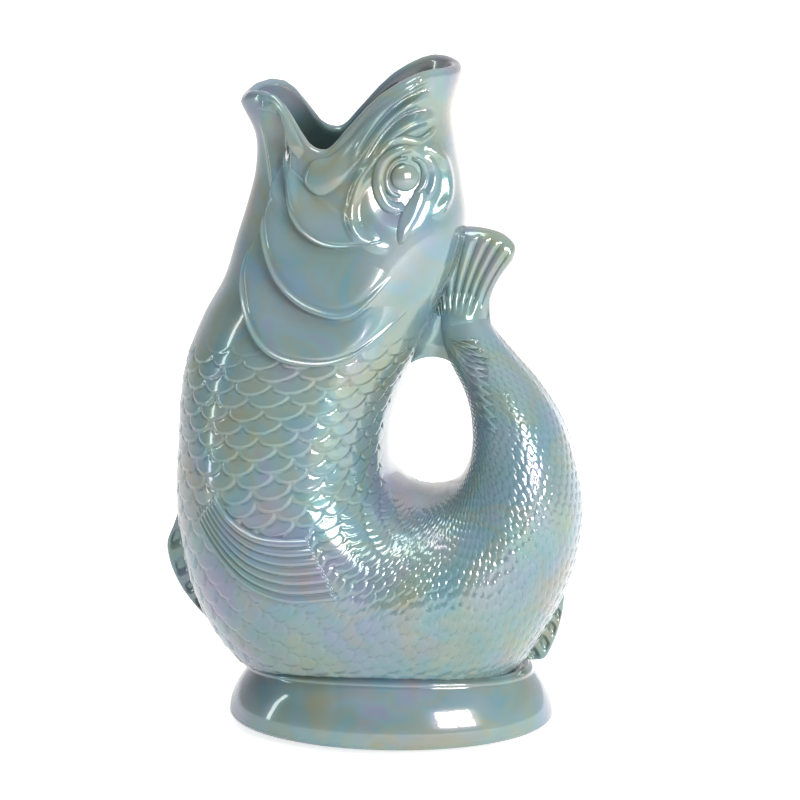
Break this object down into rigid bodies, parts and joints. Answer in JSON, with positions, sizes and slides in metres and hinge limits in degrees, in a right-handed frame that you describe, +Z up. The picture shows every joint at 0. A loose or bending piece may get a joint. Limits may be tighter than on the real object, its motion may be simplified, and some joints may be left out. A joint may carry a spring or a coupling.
{
  "type": "gurgle jug",
  "caption": "Fish-shaped pouring jug that stands on its curled body, with an open mouth as the spout and a hollow tail as the handle.",
  "frame": {"origin": "centre of the foot's underside, on the table", "axes": "+Z up, +X from the chest to the tail handle, -Y to the fish's left side"},
  "size_m": [0.1499, 0.1002, 0.2413],
  "materials": {
    "pearl_glaze": "glossy pearl lustre glaze, pale grey-teal",
    "bare_clay": "wiped, matt earthenware"
  },
  "bodies": {
    "root": {"foot_ring": "bare_clay", "foot": "pearl_glaze", "belly_shell": "pearl_glaze", "chest_shell": "pearl_glaze", "head_shell": "pearl_glaze", "tail_shell": "pearl_glaze", "tail_bridge": "pearl_glaze", "tail_fin": "pearl_glaze", "dorsal_comb_left": "pearl_glaze", "dorsal_comb_right": "pearl_glaze", "pectoral_fin_left": "pearl_glaze", "pectoral_fin_right": "pearl_glaze", "ventral_fin": "pearl_glaze", "anal_fin": "pearl_glaze", "opercle_left": "pearl_glaze", "opercle_right": "pearl_glaze", "preopercle_left": "pearl_glaze", "preopercle_right": "pearl_glaze", "cheek_left": "pearl_glaze", "cheek_right": "pearl_glaze", "upper_lip_left": "pearl_glaze", "upper_lip_right": "pearl_glaze", "lower_lip_left": "pearl_glaze", "lower_lip_right": "pearl_glaze", "eye_left": "pearl_glaze", "eye_right": "pearl_glaze", "eye_ring_left": "pearl_glaze", "eye_ring_right": "pearl_glaze", "brow_left": "pearl_glaze", "brow_right": "pearl_glaze"}
  },
  "joints": []
}
